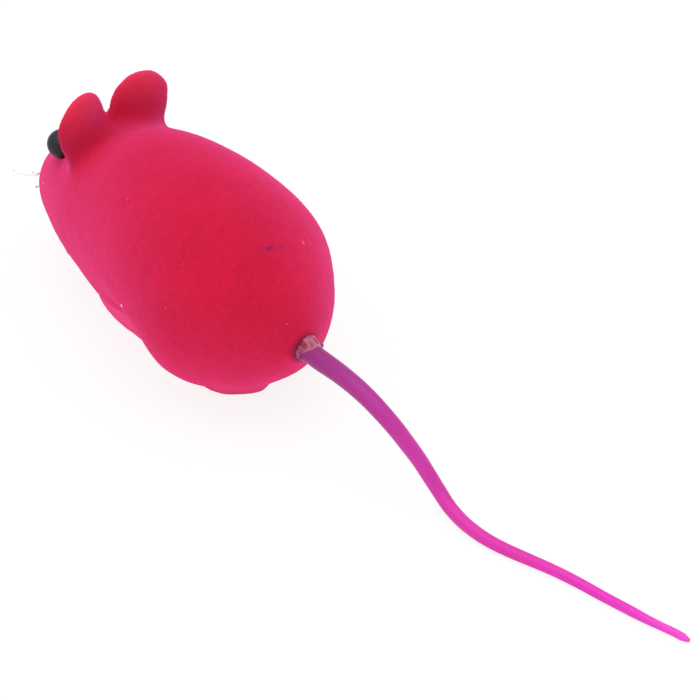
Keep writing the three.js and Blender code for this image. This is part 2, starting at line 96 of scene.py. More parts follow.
def through(points, place):
    """Point of a smooth line through the given points at each place from 0 to 1. Between two points the
    line is the cubic that leaves each of them with half the step between that point's two neighbours."""
    points = np.asarray(points, float)
    spot = np.clip(place, 0, 1) * (len(points) - 1)
    first = np.clip(np.floor(spot).astype(int), 0, len(points) - 2)
    part = spot - first
    part = part.reshape(part.shape + (1,) * (points.ndim - 1))
    before, start, end, after = (
        points[np.clip(first + step, 0, len(points) - 1)] for step in (-1, 0, 1, 2))
    slope_in, slope_out = (end - before) / 2, (after - start) / 2
    cubic = 2 * start - 2 * end + slope_in + slope_out
    square = 3 * end - 3 * start - 2 * slope_in - slope_out
    return ((cubic * part + square) * part + slope_in) * part + start


def travelled(path):
    """Distance along a path of points up to each point."""
    return np.concatenate([[0], np.cumsum(np.linalg.norm(np.diff(path, axis=0), axis=1))])


def evenly(path, count):
    """The path again, as points at even distances along it."""
    reach = travelled(path)
    wanted = np.linspace(0, reach[-1], count)
    return np.stack([np.interp(wanted, reach, path[:, axis]) for axis in range(3)], 1)


def tube(path, radii, reference, sides):
    """Rings round a path, as an array of ring, side and xyz. Each ring is a circle square to the path; its
    angle zero points along the reference direction less that direction's part along the path."""
    along = np.gradient(path, axis=0)
    along /= np.linalg.norm(along, axis=1, keepdims=True)
    first = reference - (along @ reference)[:, None] * along
    first /= np.linalg.norm(first, axis=1, keepdims=True)
    second = np.cross(along, first)
    angle = np.linspace(0, 2 * np.pi, sides, endpoint=False)[:, None]
    circle = np.cos(angle) * first[:, None] + np.sin(angle) * second[:, None]
    return path[:, None] + np.reshape(radii, (-1, 1, 1)) * circle


def skin(rings, wrapped=False):
    """Points and faces of a closed skin over rings of points. Neighbouring rings are joined by four-sided
    faces; each end ring is closed by a fan to its middle, or the last ring joins the first if wrapped.
    If the volume inside the faces comes out negative, every face is turned over. The faces come as a list
    of two arrays, the four-sided ones and the fans."""
    count, sides = rings.shape[:2]
    number = np.arange(count * sides).reshape(count, sides)
    after = np.roll(number, -1, 1)
    low, high = (number, np.roll(number, -1, 0)) if wrapped else (number[:-1], number[1:])
    low_after, high_after = (after, np.roll(after, -1, 0)) if wrapped else (after[:-1], after[1:])
    faces = np.stack([low, low_after, high_after, high], -1).reshape(-1, 4)
    points = rings.reshape(-1, 3)
    fans = np.zeros((0, 3), int)
    if not wrapped:
        points = np.concatenate([points, rings[:1].mean(1), rings[-1:].mean(1)])
        start, end = np.full(sides, count * sides), np.full(sides, count * sides + 1)
        fans = np.concatenate([
            np.stack([start, after[0], number[0]], -1), np.stack([end, number[-1], after[-1]], -1),
        ])
    triangles = np.concatenate([faces[:, [0, 1, 2]], faces[:, [0, 2, 3]], fans])
    corner = points[triangles] - points.mean(0)
    volume = np.einsum("ij,ij->i", corner[:, 0], np.cross(corner[:, 1], corner[:, 2])).sum()
    turn = -1 if volume < 0 else 1
    return points, [faces[:, ::turn], fans[:, ::turn]]


def mesh_of(name, *skins):
    """One smooth-shaded mesh that holds the given skins, each as its points and its arrays of faces."""
    points, faces, count = [], [], 0
    for skin_points, skin_faces in skins:
        points.append(skin_points)
        for array in skin_faces:
            faces += (array + count).tolist()
        count += len(skin_points)
    mesh = bpy.data.meshes.new(name)
    mesh.from_pydata(np.concatenate(points).tolist(), [], faces)
    mesh.polygons.foreach_set("use_smooth", np.ones(len(mesh.polygons), bool))
    mesh.update()
    return mesh


def piece(mesh, material):
    """A new object at the origin that shows the mesh in the material."""
    mesh.materials.clear()
    mesh.materials.append(material)
    made = bpy.data.objects.new(mesh.name, mesh)
    bpy.context.scene.collection.objects.link(made)
    return made


def plain(red, green, blue):
    """The shader's colour for one that reads as these three values from 0 to 255 on a screen."""
    screen = np.array([red, green, blue]) / 255
    light = np.where(screen <= 0.04045, screen / 12.92, ((screen + 0.055) / 1.055) ** 2.4)
    return (*light.tolist(), 1.0)


def new_material(name):
    """A material with its node tree emptied down to one Principled shader and its output."""
    material = bpy.data.materials.new(name)
    material.use_nodes = True
    nodes = material.node_tree.nodes
    nodes.clear()
    shader = nodes.new("ShaderNodeBsdfPrincipled")
    output = nodes.new("ShaderNodeOutputMaterial")
    material.node_tree.links.new(shader.outputs[0], output.inputs[0])
    return material, nodes, material.node_tree.links, shader


def feed(links, value, socket):
    """Gives a socket its value: a link from another socket, or a plain value."""
    if isinstance(value, bpy.types.NodeSocket):
        links.new(value, socket)
    else:
        socket.default_value = value


def give(node, values):
    """Sets a node's named sockets to plain values."""
    for name, value in values.items():
        node.inputs[name].default_value = value


def noise(nodes, links, vector, scale, detail=2.0, roughness=0.5):
    """A noise texture on the given vector; scale is its number of lumps to a metre."""
    texture = nodes.new("ShaderNodeTexNoise")
    for name, value in (("Vector", vector), ("Scale", scale), ("Detail", detail), ("Roughness", roughness)):
        feed(links, value, texture.inputs[name])
    return texture.outputs["Fac"]


def ramp(nodes, links, factor, stops):
    """A colour ramp with the given (place, colour) stops."""
    node = nodes.new("ShaderNodeValToRGB")
    while len(node.color_ramp.elements) < len(stops):
        node.color_ramp.elements.new(1)
    for element, (place, colour) in zip(node.color_ramp.elements, stops):
        element.position = place
        element.color = colour
    links.new(factor, node.inputs["Fac"])
    return node.outputs["Color"]


def between(nodes, links, factor, low, high):
    """0 at low and 1 at high, with a smooth step from one to the other; low may be the larger."""
    node = nodes.new("ShaderNodeMapRange")
    node.interpolation_type = "SMOOTHSTEP"
    give(node, {"From Min": low, "From Max": high})
    links.new(factor, node.inputs["Value"])
    return node.outputs["Result"]


def blended(nodes, links, factor, first, second, kind="MIX"):
    """A colour mix; each of factor, first and second is a socket or a plain value."""
    node = nodes.new("ShaderNodeMix")
    node.data_type = "RGBA"
    node.blend_type = kind
    for socket, value in zip((node.inputs[0], node.inputs[6], node.inputs[7]), (factor, first, second)):
        feed(links, value, socket)
    return node.outputs[2]


def empty_group(name, inputs, outputs):
    """A shader node group with the named sockets, and nothing in it but its input and output nodes."""
    group = bpy.data.node_groups.new(name, "ShaderNodeTree")
    for side, sockets in (("INPUT", inputs), ("OUTPUT", outputs)):
        for label, kind in sockets:
            group.interface.new_socket(name=label, in_out=side, socket_type="NodeSocket" + kind)
    return group, group.nodes.new("NodeGroupInput"), group.nodes.new("NodeGroupOutput")


def grain_group():
    """Fine grain: one noise gives a grain mask, a gloss that runs from Smooth to Rough as the grain goes
    from 0.3 to 0.7, and a normal over bumps that are Depth metres high."""
    group, given, put = empty_group(
        "fine_grain",
        (
            ("Place", "Vector"), ("Scale", "Float"), ("Smooth", "Float"), ("Rough", "Float"),
            ("Depth", "Float"),
        ),
        (("Grain", "Float"), ("Roughness", "Float"), ("Normal", "Vector")),
    )
    fine = noise(group.nodes, group.links, given.outputs["Place"], given.outputs["Scale"], 3, 0.6)
    gloss = group.nodes.new("ShaderNodeMapRange")
    give(gloss, {"From Min": 0.3, "From Max": 0.7})
    bump = group.nodes.new("ShaderNodeBump")
    give(bump, {"Strength": 1})
    for start, end in (
        (fine, gloss.inputs["Value"]), (given.outputs["Smooth"], gloss.inputs["To Min"]),
        (given.outputs["Rough"], gloss.inputs["To Max"]), (fine, bump.inputs["Height"]),
        (given.outputs["Depth"], bump.inputs["Distance"]), (fine, put.inputs["Grain"]),
        (gloss.outputs[0], put.inputs["Roughness"]), (bump.outputs[0], put.inputs["Normal"]),
    ):
        group.links.new(start, end)
    return group


def drift_group():
    """Tone drift: clouds of a first and a second colour, Scale of them to a metre."""
    group, given, put = empty_group(
        "tone_drift",
        (("Place", "Vector"), ("Scale", "Float"), ("First", "Color"), ("Second", "Color")),
        (("Color", "Color"),),
    )
    cloud = noise(group.nodes, group.links, given.outputs["Place"], given.outputs["Scale"], 2, 0.5)
    cloud = between(group.nodes, group.links, cloud, 0.3, 0.7)
    tone = blended(group.nodes, group.links, cloud, given.outputs["First"], given.outputs["Second"])
    group.links.new(tone, put.inputs["Color"])
    return group


def placed(nodes, links, group, place, **values):
    """The group set into a material: it reads the given place and has plain values on its other inputs."""
    node = nodes.new("ShaderNodeGroup")
    node.node_tree = group
    links.new(place, node.inputs["Place"])
    give(node, values)
    return node.outputs


def take_grain(links, shader, grain):
    """The shader takes its gloss and its normal from the grain."""
    links.new(grain["Roughness"], shader.inputs["Roughness"])
    links.new(grain["Normal"], shader.inputs["Normal"])


fine_grain = grain_group()
tone_drift = drift_group()

tail_path = evenly(through(tail_route, np.linspace(0, 1, 2000)), tail_rings)
tail_reach = travelled(tail_path)
tail_length = tail_reach[-1]
tail_share = np.clip(tail_reach - np.interp(tail_free_start, tail_path[:, 1], tail_reach), 0, None)
tail_share /= tail_share[-1]
tail_taper = (1 - tail_share) ** tail_taper_power
tail_radii = (tail_tip_diameter + (tail_root_diameter - tail_tip_diameter) * tail_taper) / 2
# The barb widens from half the neck's radius to its own and steps back to the neck
barb_part = np.clip(tail_reach / tail_barb_length, 0, 1)
barb = tail_root_diameter / 4 * (1 - barb_part) + tail_barb_radius * barb_part
tail_radii = np.where(tail_reach < tail_barb_length, barb, tail_radii)
# Very faint swells from the mould, and a thinner last stretch with its cut end drawn to a nib
tail_radii *= 1 + 0.004 * np.sin(tail_reach / 0.0031) + 0.003 * np.sin(tail_reach / 0.0013 + 1)
to_end = tail_length - tail_reach
tail_radii *= 1 - tail_thin_share * np.clip((tail_thin_stretch - to_end) / tail_thin_ease, 0, 1)
tail_radii *= np.clip(0.3 + to_end / tail_nib_length, 0, 1) ** 0.7
tail_mesh = mesh_of("soft_tail_taper", skin(tube(tail_path, tail_radii, np.array([1.0, 0, 0]), tail_sides)))
# The straightened tail, for the streaks and for the colour along it
angle = np.linspace(0, 2 * np.pi, tail_sides, endpoint=False)
straight = np.stack(np.broadcast_arrays(
    tail_radii[:, None] * np.cos(angle), tail_radii[:, None] * np.sin(angle), tail_reach[:, None]), -1)
straight = np.concatenate([straight.reshape(-1, 3), [[0, 0, 0], [0, 0, tail_length]]])
straightened = tail_mesh.attributes.new("straightened", "FLOAT_VECTOR", "POINT")
straightened.data.foreach_set("vector", straight.ravel())

tail_vinyl, nodes, links, shader = new_material("soft_magenta_vinyl")
lengthwise = nodes.new("ShaderNodeAttribute")
lengthwise.attribute_name = "straightened"
parts = nodes.new("ShaderNodeSeparateXYZ")
links.new(lengthwise.outputs["Vector"], parts.inputs[0])
reach = nodes.new("ShaderNodeMapRange")
give(reach, {"From Min": tail_colour_start, "From Max": float(tail_length)})
links.new(parts.outputs["Z"], reach.inputs["Value"])
# The colour runs from a dark purple at the root, partly the thicker vinyl and partly painted shade and
# painted reflection of the body's red, to a light pink at the cut end
hue_and_root_shade = ramp(nodes, links, reach.outputs[0], [
    (0.0, plain(145, 45, 117)), (0.14, plain(171, 47, 140)), (0.34, plain(202, 53, 162)),
    (0.6, plain(216, 47, 165)), (0.85, plain(222, 50, 186)), (1.0, plain(233, 76, 202)),
])
stretch = nodes.new("ShaderNodeMapping")
give(stretch, {"Scale": (1, 1, 0.2)})
links.new(lengthwise.outputs["Vector"], stretch.inputs["Vector"])
grain = placed(
    nodes, links, fine_grain, stretch.outputs[0], Scale=900, Smooth=0.34, Rough=0.5, Depth=0.00001,
)
mottle = placed(
    nodes, links, tone_drift, stretch.outputs[0], Scale=420, First=(0.9, 0.86, 0.92, 1), Second=(1, 1, 1, 1),
)
links.new(blended(nodes, links, 1.0, hue_and_root_shade, mottle["Color"], "MULTIPLY"), shader.inputs["Base Color"])
take_grain(links, shader, grain)
give(shader, {
    "Specular IOR Level": 0.3, "Subsurface Weight": 0.35, "Subsurface Radius": (1.0, 0.25, 0.7),
    "Subsurface Scale": 0.0012, "IOR": 1.45,
})

tail = piece(tail_mesh, tail_vinyl)
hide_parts("tail", "tail_plug")
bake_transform(tail)


# Body: a hollow moulding of soft vinyl about 1.6 mm thick, cast in a closed mould that turns, with head,
# ears, paws and a flat base in one piece. It is dipped in glue and flocked with short crimson fibres, which
# look bright pink wherever the eye meets them edge on, and are worn thin along the ears' rims. The ears'
# upper parts are painted lighter, partly for that wear and partly as painted light.
body_length = 60
body_width = 29.8
body_height = 31.4
body_wall = 1.6
widest_share = 0.47
belly_roundness = 0.94
station_shares = [0, 0.013, 0.058, 0.142, 0.25, 0.375, 0.5, 0.633, 0.767, 0.875, 0.95, 0.99, 1]
half_width_shares = [0, 0.17, 0.35, 0.51, 0.67, 0.785, 0.895, 0.985, 0.985, 0.745, 0.445, 0.18, 0]
back_shares = [0.312, 0.408, 0.548, 0.7, 0.833, 0.935, 0.995, 1, 0.948, 0.848, 0.706, 0.56, 0.452]
belly_shares = [0.312, 0.242, 0.176, 0.13, 0.096, 0.062, 0.052, 0.038, 0.042, 0.124, 0.25, 0.37, 0.452]
waist_station = 6
waist_span = 4.8
waist_depth = 2.8
base_half_width = 7.1
base_ends = (-15, 20.16)
base_side_shares = [0, 0.48, 0.76, 0.89, 0.98, 1, 0.98, 0.97, 0.95, 0.92, 0.89, 0.84, 0.78, 0.57, 0]
base_along_shares = [0, 0.02, 0.08, 0.14, 0.23, 0.32, 0.4, 0.47, 0.55, 0.63, 0.73, 0.83, 0.88, 0.94, 1]
paw_place = (4.2, -18.6, 4.6)
paw_half_sizes = (2.4, 2.6, 2.7)
ear_widths = {1: 9, -1: 9.5}
ear_heights = {1: 12.65, -1: 12.4}
ear_thickness = 2.1
ear_cup = 1.1
ear_roots = {1: (3.94, -12.84, 21.73), -1: (-3.86, -12.84, 21.73)}
ear_lean, ear_splay, ear_turn = np.radians([4, 5, 9])
ear_level_shares = [0, 0.16, 0.295, 0.43, 0.565, 0.7, 0.815, 0.907, 0.97, 1]
ear_width_shares = [0.9, 0.95, 0.98, 1, 1, 0.95, 0.81, 0.6, 0.36, 0]
ear_outward_shares = {
    1: [-0.02, -0.01, -0.01, 0, 0.02, 0.05, 0.03, 0.01, 0.01, 0],
    -1: [-0.12, -0.08, -0.04, 0, 0.02, 0.05, 0.03, 0.01, 0.01, 0],
}
ear_thickness_shares = [2.1, 2, 1.5, 1.1, 0.95, 0.9, 0.9, 0.86, 0.7, 0]
tail_axis_level = 14.6
collar_height = 0.9
collar_width = 2.2
eye_station_share = 0.182
eye_degrees = 57.5
eye_centre_height = 0.9


def bell(distance, width):
    """A bell curve of a distance: 1 at no distance, and 1 over e at the width."""
    return np.exp(-((distance / width) ** 2))


def outline(place):
    """Station, half width, back level and belly level of the moulding at each place from 0, the snout, to
    1, the rear end, in millimetres: smooth lines through the shares of its length, width and height."""
    station = (through(station_shares, place) - 0.5) * body_length
    half_width = through(half_width_shares, place) * body_width / 2
    back, belly = (through(shares, place) * body_height for shares in (back_shares, belly_shares))
    return station, half_width, back, belly


def moulding(place, angle):
    """Points of the moulding: oval cross-sections whose widest level lies 0.47 of the way up. Under that
    level the cosine and sine are raised to the power 0.94, which makes the oval a little fuller, and a
    hollow is taken off low on each flank at the waist, a bell curve along the body."""
    station, half_width, back, belly = outline(place)
    middle = belly + widest_share * (back - belly)
    under = np.maximum(0, -np.sin(angle))
    rise = np.where(under > 0, middle - belly, back - middle)
    power = np.where(under > 0, belly_roundness, 1)
    hollow = waist_depth * (4 * under * (1 - under)) ** 2
    hollow = hollow * bell(station - waist_station, waist_span)
    across = np.sign(np.cos(angle)) * np.abs(np.cos(angle)) ** power
    upward = np.sign(np.sin(angle)) * np.abs(np.sin(angle)) ** power
    return np.stack(np.broadcast_arrays(
        (half_width - hollow) * across, station, middle + (rise - hollow) * upward), -1)


def outward_of(rings):
    """Unit normals of a grid of points, closed round its rings: the cross product of its two slopes."""
    lengthwise = np.gradient(rings, axis=0)
    crosswise = np.roll(rings, -1, 1) - np.roll(rings, 1, 1)
    normal = np.cross(lengthwise, crosswise)
    return normal / np.maximum(np.linalg.norm(normal, axis=-1, keepdims=True), 1e-12)


def moulding_rings(growth, rings, sides):
    """Rings of the moulding's skin, moved outwards by growth along the skin's own normal."""
    place = np.linspace(0, 1, rings + 1)[1:-1, None]
    angle = np.linspace(0, 2 * np.pi, sides, endpoint=False)[None]
    grid = moulding(place, angle)
    return grid + growth * outward_of(grid)


def ear_rings(side, rings=90, sides=96):
    """Rings of one ear: ovals stacked from inside the head to the tip, their middles shifted outwards by
    a share of the ear's half width and their ends bent back so that the front is hollow, then leaned,
    splayed and turned about the ear's root."""
    share = np.linspace(0, 1, rings, endpoint=False)
    angle = np.linspace(0, 2 * np.pi, sides, endpoint=False)[None]
    level = through(ear_level_shares, share)[:, None] * ear_heights[side]
    half = through(ear_width_shares, share)[:, None]
    shift = side * through(ear_outward_shares[side], share)[:, None] * ear_widths[side] / 2
    thick = through(ear_thickness_shares, share)[:, None] * ear_thickness / 2
    across = shift + half * np.cos(angle) * ear_widths[side] / 2
    deep = thick * np.sin(angle) - ear_cup * (np.cos(angle) * half) ** 2
    upright = np.stack(np.broadcast_arrays(across, deep, level), -1)
    turn = Matrix.Rotation(side * ear_turn, 3, "Z") @ Matrix.Rotation(side * ear_splay, 3, "Y")
    turn = np.array(turn @ Matrix.Rotation(ear_lean, 3, "X"))
    return upright @ turn.T + np.array(ear_roots[side])


def round_loop(points, count):
    """Points at even steps of a smooth closed line through the given points."""
    looped = np.concatenate([points[-1:], points, points[:2]])
    step = np.linspace(0, 1, count, endpoint=False)
    return through(looped, (1 + step * len(points)) / (len(looped) - 1))


def base_rings():
    """Rings of the base: a long oval slab, its sole flat and its lower edge rounded. Each ring is the
    outline, shrunk towards the middle and drawn in square to itself by an inset, at a level."""
    left = np.stack([
        np.array(base_side_shares) * base_half_width,
        base_ends[0] + np.array(base_along_shares) * (base_ends[1] - base_ends[0]),
    ], 1)
    loop = round_loop(np.concatenate([left, left[-2:0:-1] * (-1, 1)]), 200)
    slope = np.roll(loop, -1, 0) - np.roll(loop, 1, 0)
    inwards = np.stack([-slope[:, 1], slope[:, 0]], 1) / np.linalg.norm(slope, axis=1, keepdims=True)
    middle = np.array([0, sum(base_ends) / 2])
    inwards *= np.sign(((middle - loop) * inwards).sum())
    rings = []
    for shrink, inset, level in (
        (0.02, 0, 0), (0.4, 0, 0), (0.8, 0, 0), (1, 0.62, 0), (1, 0.3, 0.1), (1, 0.1, 0.28), (1, 0.02, 0.5),
        (1, 0, 0.8), (1, 0, 3), (1, 0.1, 4), (1, 0.3, 4.3), (0.6, 0.3, 4.5),
    ):
        flat = middle + (loop - middle) * shrink + inwards * inset
        rings.append(np.concatenate([flat, np.full((len(flat), 1), level)], 1))
    return np.stack(rings)


def ball_rings(centre, half_sizes, rings=40, sides=56):
    """Rings of a ball drawn out to three half sizes, about a centre."""
    polar = np.linspace(0, np.pi, rings + 1)[1:-1, None]
    angle = np.linspace(0, 2 * np.pi, sides, endpoint=False)[None]
    unit = np.stack(np.broadcast_arrays(
        np.sin(polar) * np.cos(angle), np.sin(polar) * np.sin(angle), np.cos(polar)), -1)
    return unit * np.array(half_sizes) + np.array(centre)


def bar_rings(start, end, radius, sides=48):
    """Rings of a straight round bar between two points."""
    start, end = np.array(start, float), np.array(end, float)
    path = start + np.linspace(0, 1, 3)[:, None] * (end - start)
    along = (end - start) / np.linalg.norm(end - start)
    reference = np.array([0, 0, 1.0]) if abs(along[2]) < 0.9 else np.array([0, 1.0, 0])
    return tube(path, np.full(3, radius), reference, sides)


def finished(obj):
    """The object's mesh with its modifiers worked in, and the object itself taken away."""
    graph = bpy.context.evaluated_depsgraph_get()
    mesh = bpy.data.meshes.new_from_object(obj.evaluated_get(graph))
    bpy.data.objects.remove(obj)
    return mesh


def read_points(mesh, what="co"):
    """The mesh's points, or with what set to normal their normals, as an array."""
    values = np.zeros(len(mesh.vertices) * 3)
    mesh.vertices.foreach_get(what, values)
    return values.reshape(-1, 3)


def write_points(mesh, points):
    """Moves the mesh's points."""
    mesh.vertices.foreach_set("co", points.ravel())
    mesh.update()


def smoothed(points, edges, weight, rounds):
    """In each round, every point moves by its weight towards the mean of the points it shares edges with."""
    ends = np.concatenate([edges, edges[:, ::-1]])
    count = np.bincount(ends[:, 0], minlength=len(points))
    for _ in range(rounds):
        total = [np.bincount(ends[:, 0], points[ends[:, 1], axis], len(points)) for axis in range(3)]
        points = points + weight[:, None] * (np.stack(total, 1) / count[:, None] - points)
    return points


def lumps(points, size, seed):
    """Smooth random lumps from -1 to 1, about size across: random values on the corners of a cubic
    lattice, eased from corner to corner by the smooth step."""
    table = np.random.default_rng(seed).uniform(-1, 1, 8192)
    spot = points / size + 1000
    corner = np.floor(spot).astype(int)
    ease = spot - corner
    ease = ease * ease * (3 - 2 * ease)
    total = np.zeros(points.shape[:-1])
    for step in np.ndindex(2, 2, 2):
        value = table[((corner + step) @ (73, 1361, 4517)) % 8192]
        total += np.abs(1 - np.array(step) - ease).prod(-1) * value
    return total


def off_skin(mesh, reached):
    """How far each of the mesh's points lies from a skin: the length of its way to where a shrinkwrap
    puts it, which is the nearest place on the skin."""
    target = piece(mesh_of("reached", reached), tail_vinyl)
    drawn_in = piece(mesh.copy(), tail_vinyl)
    drawn_in.data.name = "drawn_in"
    shrink = drawn_in.modifiers.new("shrink", "SHRINKWRAP")
    shrink.wrap_method = "NEAREST_SURFACEPOINT"
    shrink.target = target
    nearest = read_points(finished(drawn_in))
    bpy.data.objects.remove(target)
    return np.linalg.norm(nearest - read_points(mesh), axis=1)


def line_distance(points, line):
    """Distance of each point from a line through a few points."""
    path = evenly(np.asarray(line, float), 40)
    return np.linalg.norm(points[:, None] - path[None], axis=-1).min(1)


def mark(mesh, name, values):
    """Stores one value for each of the mesh's points under a name, for a material to read."""
    mesh.attributes.new(name, "FLOAT", "POINT").data.foreach_set("value", values.astype(np.float32).ravel())


# The forms are joined by a fine voxel skin, and their joins are worn round as a mould's would be. Each
# join's rounding has a place and a reach, and pulls a point at most nine tenths of the way each round
voxel_size = 0.29
ear_join_place = (4.2, -12.9, 25.5)
ear_join_reach = 6.5
ear_join_height = 1.8
base_join_top = 8
waist_join_station, waist_join_span = 3, 9
neck_join_station, neck_join_span = -9.6, 2.6
most_pull = 0.9
moulding_skin = skin(moulding_rings(0, 180, 220))
joined = piece(mesh_of(
    "flocked_body", moulding_skin, skin(ear_rings(1)), skin(ear_rings(-1)), skin(base_rings()),
    *(skin(ball_rings((side * paw_place[0], *paw_place[1:]), paw_half_sizes)) for side in (1, -1)),
), tail_vinyl)
remesh = joined.modifiers.new("voxels", "REMESH")
remesh.mode = "VOXEL"
remesh.voxel_size = voxel_size
remesh.adaptivity = 0
joined_mesh = finished(joined)
points = read_points(joined_mesh)
edges = np.zeros(len(joined_mesh.edges) * 2, int)
joined_mesh.edges.foreach_get("vertices", edges)
edges = edges.reshape(-1, 2)
height_off = off_skin(joined_mesh, moulding_skin)
from_ears = np.min([
    np.linalg.norm(points - (side * ear_join_place[0], *ear_join_place[1:]), axis=1) for side in (1, -1)
], axis=0)
near_ear = np.clip(1.7 - from_ears / ear_join_reach, 0, 1) * bell(height_off, ear_join_height)
above_floor = np.clip((points[:, 2] - 0.5) / 1.2, 0, 1)
near_base = above_floor * np.clip((base_join_top - points[:, 2]) / 2, 0, 1)
near_waist = near_base * bell(points[:, 1] - waist_join_station, waist_join_span)
points = smoothed(points, edges, np.clip(most_pull * near_ear + 0.4 * near_base, 0, most_pull), 90)
points = smoothed(points, edges, most_pull * near_waist, 100)
behind_ears = bell(points[:, 1] - neck_join_station, neck_join_span) * bell(height_off, 2)
behind_ears *= (points[:, 2] > 20) * np.clip((8 - np.abs(points[:, 0])) / 2, 0, 1)
points = smoothed(points, edges, most_pull * behind_ears, 160)
points = smoothed(points, edges, np.where(points[:, 2] < 0.6, 0, 0.5), 4)
points[:, 2] = np.maximum(points[:, 2], 0)


def collar(from_axis):
    """How far the wall stands out round the tail's hole, a bell curve of the distance from its axis."""
    return collar_height * bell(from_axis, collar_width)


from_tail = np.hypot(points[:, 0], points[:, 2] - tail_axis_level)
points[:, 1] += collar(from_tail) * (points[:, 1] > 20)
write_points(joined_mesh, points)
# The flock's fuzz: lumps of two sizes and a fine jitter along the skin's normal, and none on the sole
fuzz = 0.045 * lumps(points, 3.4, 11) + 0.025 * lumps(points, 1.1, 12)
fuzz += 0.01 * np.random.default_rng(5).normal(size=len(points)) - 0.05
points = points + np.where(points[:, 2] < 0.5, 0, fuzz)[:, None] * read_points(joined_mesh, "normal")
write_points(joined_mesh, points)

# The hollow inside is the moulding drawn in by its wall, with its faces turned inwards. The voxel skin's
# own faces all have four sides
hollow_points, hollow_faces = skin(moulding_rings(-body_wall, 60, 72))
corners = np.zeros(len(joined_mesh.loops), int)
joined_mesh.loops.foreach_get("vertex_index", corners)
shell = piece(mesh_of(
    "flocked_body", (points, [corners.reshape(-1, 4)]),
    (hollow_points, [array[:, ::-1] for array in hollow_faces]),
), tail_vinyl)


def place_of(station_share):
    """The place from 0 to 1 whose station is the given share of the length, read off a fine table."""
    places = np.linspace(0, 1, 4001)
    return np.interp(station_share, through(station_shares, places), places)


def eye_seat(side):
    """Where an eye sits on the moulding, and the direction that points straight out there: the cross
    product of the moulding's slopes along and round the body."""
    angle = np.array(np.radians(eye_degrees if side > 0 else 180 - eye_degrees))
    place = place_of(eye_station_share)
    point = moulding(np.array(place), angle)
    lengthwise = moulding(np.array(place + 0.01), angle) - point
    crosswise = moulding(np.array(place), angle + 0.01) - point
    outward = np.cross(lengthwise, crosswise)
    return point, outward / np.linalg.norm(outward)


# Holes for what passes through the wall: eyes, whiskers, squeaker and tail. Each strand's row holds its
# station and level, and its free length
eye_socket_radius = 2.16
peg_hole_radius = 1.05
strand_hole_radius = 0.3
squeaker_station = 3
squeaker_recess_radius = 5.5
squeaker_hole_radius = 4.2
tail_hole_radius = 1.5
strand_rows = (((-27.42, 12.4), 5.5), ((-26.28, 13.6), 1.2), ((-27.18, 10.5), 0.2))
cuts = []
for side in (1, -1):
    seat, outward = eye_seat(side)
    cuts.append(skin(ball_rings(seat + eye_centre_height * outward, (eye_socket_radius,) * 3)))
    cuts.append(skin(bar_rings(seat - 2.6 * outward, seat + 0.5 * outward, peg_hole_radius)))
for (station, level), _ in strand_rows:
    cuts.append(skin(bar_rings((-15, station, level), (15, station, level), strand_hole_radius, 16)))
for low, high, radius in ((-1, 1.4, squeaker_recess_radius), (0, 6, squeaker_hole_radius)):
    cuts.append(skin(bar_rings((0, squeaker_station, low), (0, squeaker_station, high), radius, 96)))
cuts.append(skin(bar_rings((0, 26, tail_axis_level), (0, 31.5, tail_axis_level), tail_hole_radius)))
cutters = []
for number, cut in enumerate(cuts):
    cutter = piece(mesh_of(f"cut_{number}", cut), tail_vinyl)
    cutters.append(cutter)
    boolean = shell.modifiers.new(f"cut_{number}", "BOOLEAN")
    boolean.operation = "DIFFERENCE"
    boolean.solver = "MANIFOLD"
    boolean.object = cutter
shell_mesh = finished(shell)
for cutter in cutters:
    bpy.data.objects.remove(cutter)
shell_mesh.name = "flocked_body"
points = read_points(shell_mesh)
shell_mesh.transform(Matrix.Scale(0.001, 4))

# Where the ears' upper parts are painted lighter, partly for worn flock and partly as painted light; where
# shade is painted at the ears' roots; where light from the floor is painted along the foot and on faces
# turned down; where the flock is darker round the tail, partly soaked with glue and partly painted shade;
# and where it is smeared with tail dye
ear_root_top = 26.5
# Painted lighter towards the ears' tops: partly worn flock, partly painted light
ear_rise = np.clip((points[:, 2] - ear_root_top) / 6.5, 0, 1) * np.clip((-7.5 - points[:, 1]) / 2, 0, 1)
from_tail = np.hypot(points[:, 0], points[:, 2] - tail_axis_level)
# Darker round the tail's hole: partly flock soaked with glue, partly painted shade
glue_soak_and_shade = np.clip((2.7 - from_tail) / 0.8, 0, 1) * (points[:, 1] > 26)
normals = read_points(shell_mesh, "normal")
# From right to left, the stations behind which no shade is painted at the ears' roots
root_sides = (-9, -6, -3.4, -1.3, 1, 3.8, 5.4, 7, 9)
root_ends = (-9.5, -8, -7.8, -8.9, -10.4, -10.4, -10.9, -11.6, -12.2)
root_end = np.interp(points[:, 0], root_sides, root_ends)
# Painted shade where the ears rise from the head, strongest at their roots and fading upwards
painted_ear_root_shade = np.clip((root_end - points[:, 1]) / 1.2 + 0.5, 0, 1) * (points[:, 1] > -14)
painted_ear_root_shade *= bell(np.clip(points[:, 2] - ear_root_top, 0, None), 3.4)
painted_ear_root_shade *= np.clip((points[:, 2] - 22.5) / 1.5, 0, 1)
# Painted light from the white floor: low along the foot, and fainter on faces turned downwards
painted_floor_light = np.maximum(np.clip((4.8 - points[:, 2]) / 2, 0, 1), 0.4 * np.clip(0.1 - normals[:, 2], 0, 1))
